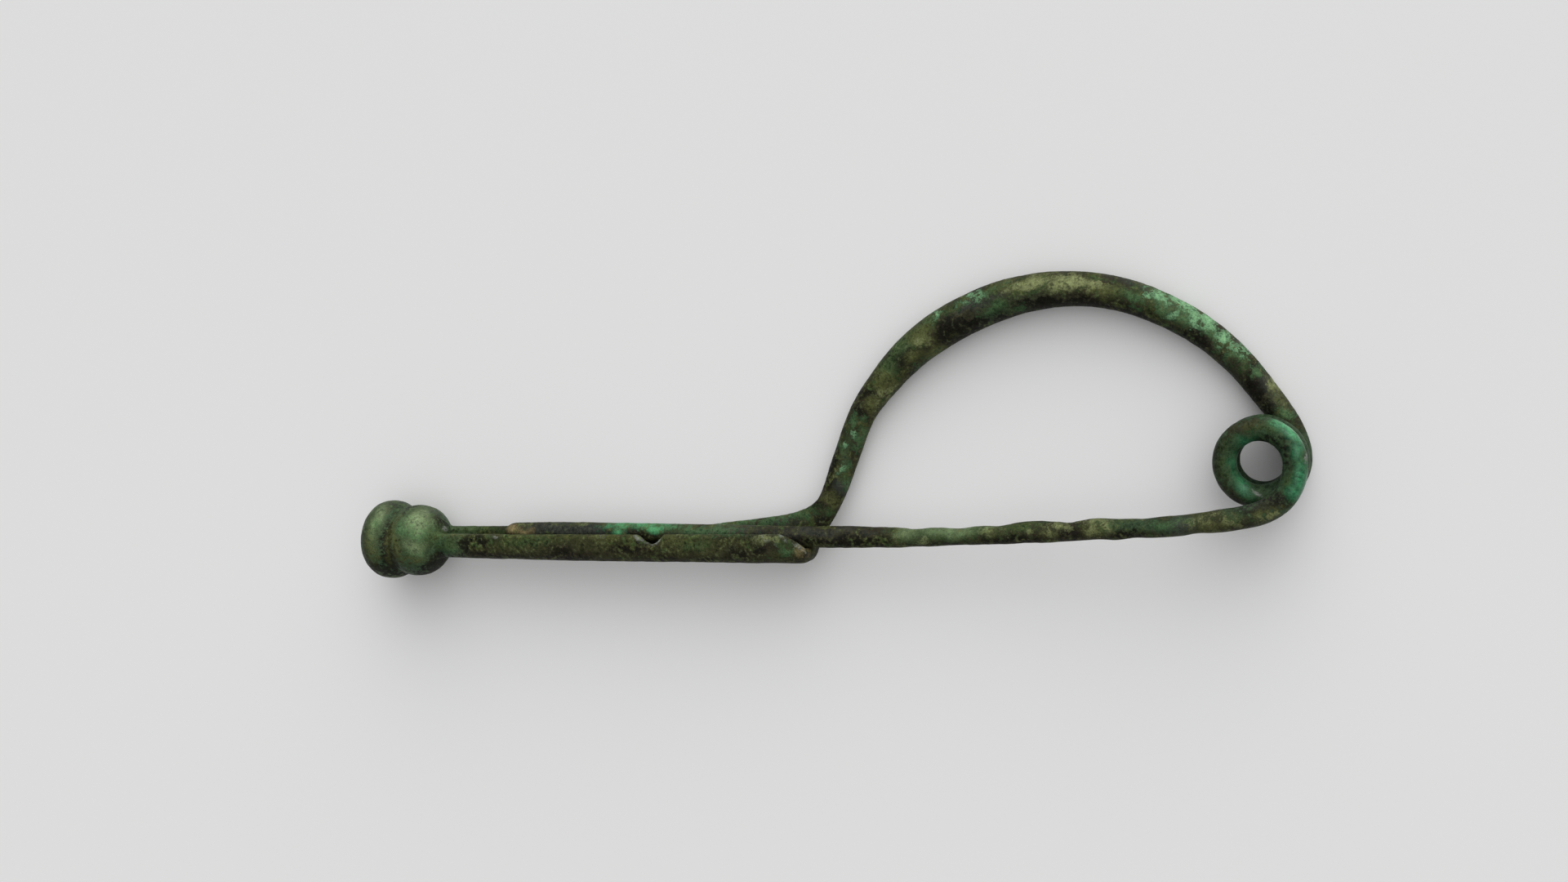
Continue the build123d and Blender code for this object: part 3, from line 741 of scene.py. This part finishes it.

# Marks by crust, painted shade and painted highlight, for the spring and the pin.
# Columns as for the bow's
wire_marks = {
    "verdigris": [
        (16.6, -10.1, 5.8, 5.0, 0.8, 2), (-11.2, -9.8, 5.2, 5.4, 0.45, 0),
        (38.6, -9.1, 7.8, 4.5, 0.7, 3),
    ],
    "deep": [
        (47.8, -3.4, 5.0, 6.0, 6.0, 0), (39.0, -8.9, 7.8, 2.9, 0.7, 3),
        (35.4, -9.2, 7.4, 2.1, 0.6, 0),
    ],
    "umber": [
        (46.3, -0.1, 7.5, 2.7, 0.9, 32), (44.1, -3.8, 6.9, 0.5, 2.4, 0),
        (50.7, -2.7, 8.3, 0.5, 1.2, 4), (52.0, -2.2, 7.5, 0.4, 1.0, -11),
        (45.0, -6.5, 6.4, 2.0, 1.0, -42), (48.3, -7.2, 8.6, 2.5, 1.0, 20),
        (48.2, 0.9, 7.3, 1.2, 0.4, 4), (4.3, -10.4, 5.4, 7.9, 0.8, 0),
        (8.7, -9.9, 5.3, 2.6, 0.8, 0), (-3.4, -10.2, 5.4, 2.8, 0.6, 0),
        (29.1, -10.1, 6.7, 9.3, 0.6, -2), (44.7, -8.7, 8.4, 4.4, 0.9, 8),
    ],
    "dark": [
        (50.7, -2.4, 8.3, 0.3, 0.7, -1), (45.0, -6.9, 5.8, 1.0, 0.4, -42),
        (49.2, -6.8, 8.6, 1.0, 0.4, 21), (48.1, -1.1, 7.3, 1.3, 0.2, -1),
        (49.3, -6.7, 8.6, 1.2, 0.5, 18), (30.1, -9.8, 6.9, 1.1, 0.5, 0),
        (23.3, -10.7, 6.1, 2.8, 0.4, 0), (35.0, -10.1, 7.1, 2.0, 0.3, 0),
        (6.0, -11.1, 5.3, 5.3, 0.5, 0), (46.4, -7.6, 8.3, 0.9, 0.5, 12),
        (-25.7, -10.0, 5.3, 7.0, 0.5, 0), (-16.5, -10.5, 5.4, 1.7, 0.4, 0),
        (40.0, -10.0, 7.3, 4.5, 0.2, 4), (17.2, -11.2, 5.2, 7.5, 0.2, -2),
        (50.2, -7.0, 8.5, 0.9, 0.4, 41),
    ],
    "slate": [
        (-8.2, -10.1, 5.4, 4.7, 0.5, 0), (46.2, -7.3, 7.9, 1.0, 0.4, 12),
        (-25.9, -9.9, 5.3, 6.3, 0.8, 0), (3.4, -10.1, 5.3, 3.6, 0.3, 0),
        (40.8, -9.0, 7.8, 1.3, 0.8, 5), (46.8, -7.0, 8.2, 1.5, 0.4, 14),
    ],
    "drab": [
        (47.2, 0.2, 7.6, 2.0, 0.5, 8), (45.6, -1.0, 7.4, 0.5, 0.4, 40),
        (48.3, -7.9, 8.6, 1.4, 0.4, 15), (51.7, -2.9, 8.2, 0.35, 0.6, 0),
    ],
    "moss": [
        (50.4, -4.8, 8.4, 0.5, 1.0, -21), (44.5, -3.5, 7.0, 0.4, 1.5, -1),
        (48.8, -0.2, 7.9, 1.0, 0.4, -1), (20.0, -9.9, 5.9, 2.0, 0.7, 2),
        (16.6, -10.2, 5.8, 2.5, 0.7, 2), (13.1, -10.3, 5.6, 1.5, 0.7, 0),
        (25.0, -9.5, 6.3, 1.9, 0.5, 3), (33.1, -9.2, 7.2, 1.1, 0.4, 0),
        (45.5, -8.2, 8.4, 1.0, 0.5, 12),
    ],
    "olive": [
        (43.6, -9.0, 8.2, 1.6, 0.6, 6), (48.4, -7.8, 8.6, 1.3, 0.4, 17),
        (31.9, -9.6, 7.1, 0.9, 0.4, 0), (27.6, -9.9, 6.6, 0.6, 0.4, 0),
        (21.7, -9.9, 6.1, 1.2, 0.5, 0), (42.9, -9.5, 8.0, 1.5, 0.3, 4),
    ],
    "straw": [
        (32.5, -8.8, 6.8, 0.9, 0.3, 0), (12.2, -10.8, 5.5, 0.3, 0.2, 0),
        (28.8, -9.1, 6.3, 0.6, 0.25, 0), (27.6, -9.8, 6.6, 0.2, 0.2, 0),
        (14.8, -10.7, 5.7, 0.3, 0.2, 0), (42.9, -8.6, 8.2, 1.2, 0.2, 5),
        (48.8, -8.1, 8.4, 0.7, 0.1, 17), (26.1, -9.8, 6.5, 0.2, 0.2, 0),
        (21.3, -9.9, 6.1, 0.3, 0.2, 0), (31.9, -9.6, 7.1, 0.3, 0.2, 0),
        (33.4, -9.8, 7.2, 0.2, 0.2, 0),
    ],
    "green": [
        (17.4, -9.9, 5.8, 2.5, 0.4, 2), (-11.3, -9.7, 5.1, 2.6, 0.25, 0),
        (39.4, -8.7, 7.8, 1.1, 0.3, 3), (-8.3, -10.0, 5.3, 1.9, 0.3, 0),
    ],
    # painted highlight along the top of the pin
    "painted_sheen": [
        (17.4, -9.8, 5.7, 2.9, 0.5, 2), (13.1, -10.1, 5.6, 0.7, 0.4, 0),
    ],
    # the first mark is part of the painted highlight on the coil's top right
    "emerald": [
        (50.5, -0.1, 7.6, 1.6, 0.7, -30), (51.7, -4.8, 8.2, 0.6, 1.8, 0),
        (45.5, -3.2, 6.4, 0.4, 0.7, 0), (46.1, -5.3, 6.3, 0.5, 0.9, 40),
        (50.9, -6.1, 8.4, 0.7, 0.7, 31), (46.6, -1.1, 7.3, 0.7, 0.4, 20),
        (51.4, -1.8, 8.1, 0.4, 0.9, -17),
    ],
    # painted highlight: the first mark, on the coil's top right
    "jade": [
        (50.3, 0.2, 7.4, 1.5, 0.45, -30), (-17.3, -9.4, 4.7, 2.4, 0.3, 0),
        (-19.4, -10.0, 5.3, 0.6, 0.4, 0), (-14.9, -9.9, 5.2, 0.6, 0.4, 0),
    ],
    "ochre": [
        (-32.5, -10.0, 5.4, 0.9, 0.5, 0), (-31.1, -10.1, 5.4, 0.9, 0.4, 0),
    ],
    # painted highlight: the streaks at x 47.4 and 50.4 on the coil
    "pale": [
        (47.4, -6.0, 6.1, 0.6, 0.1, -40), (52.0, -2.5, 7.8, 0.1, 0.3, 10),
        (50.4, 0.35, 7.2, 0.9, 0.12, -27),
    ],
}

spring = skin("spring_coils", *rod(tuck(coil_line, first=True, last=True), around=64))
age(spring, hammering)
lay_marks(spring, wire_marks)
spring.data.materials.append(bronze)
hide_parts("spring")
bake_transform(spring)

pin = skin("pin_wire", *rod(tuck(pin_line[pin_start - pin_tuck:], first=True), around=64))
age(pin, hammering)
lay_marks(pin, wire_marks)
pin.data.materials.append(bronze)
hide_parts("pin")
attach(pin, "pin")

# Floor, light and camera
# The brooch lies on a sheet of pale matt paper under soft studio light, with one broad lamp beyond
# the bow and a fainter one overhead. The camera looks down on it from the side of the pin.

floor = linked("floor", bpy.data.meshes.new("floor"))
half = 3  # of the sheet's side, in metres
corners = [(-half, -half, 0), (half, -half, 0), (half, half, 0), (-half, half, 0)]
floor.data.from_pydata(corners, [], [(0, 1, 2, 3)])
paper = bpy.data.materials.new("pale_paper")
paper.use_nodes = True
matt = paper.node_tree.nodes["Principled BSDF"]
matt.inputs["Base Color"].default_value = (0.88, 0.88, 0.88, 1)
matt.inputs["Roughness"].default_value = 0.9
floor.data.materials.append(paper)

scene = bpy.context.scene
scene.view_settings.view_transform = "Standard"
world = bpy.data.worlds.new("studio")
world.use_nodes = True
dome = Tone(world.node_tree)


def lobe(direction, power):
    """Light that falls off from a direction as a power of the cosine."""
    cosine = dome.node("ShaderNodeVectorMath", {
        0: dome.node("ShaderNodeTexCoord", output="Generated"), 1: Vector(direction).normalized(),
    }, output="Value", operation="DOT_PRODUCT")
    return dome.math("POWER", dome.math("MAXIMUM", cosine, 0.0), power)


# an even dome, the lamp beyond the bow and the one overhead
sky = 0.25 + 3.1 * lobe((0.30, 0.88, 0.36), 5.0) + 0.9 * lobe((0.37, 0.07, 0.93), 6.0)
world.node_tree.links.new(sky.socket, world.node_tree.nodes["Background"].inputs["Color"])
scene.world = world

lens = bpy.data.cameras.new("camera")
# 30 degrees from top to bottom of a picture that is 16 wide and 9 high
lens.angle = 2 * atan(tan(radians(30 / 2)) * 16 / 9)
lens.clip_start = 0.005
camera = linked("camera", lens)
# columns: the camera's right, its up, the way back from what it sees, and its place in metres
camera.matrix_world = Matrix((
    (0.93058, 0.01704, 0.36570, 0.06254),
    (-0.04551, 0.99655, 0.06938, 0.01124),
    (-0.36325, -0.08120, 0.92814, 0.16345),
    (0, 0, 0, 1),
))
scene.camera = camera
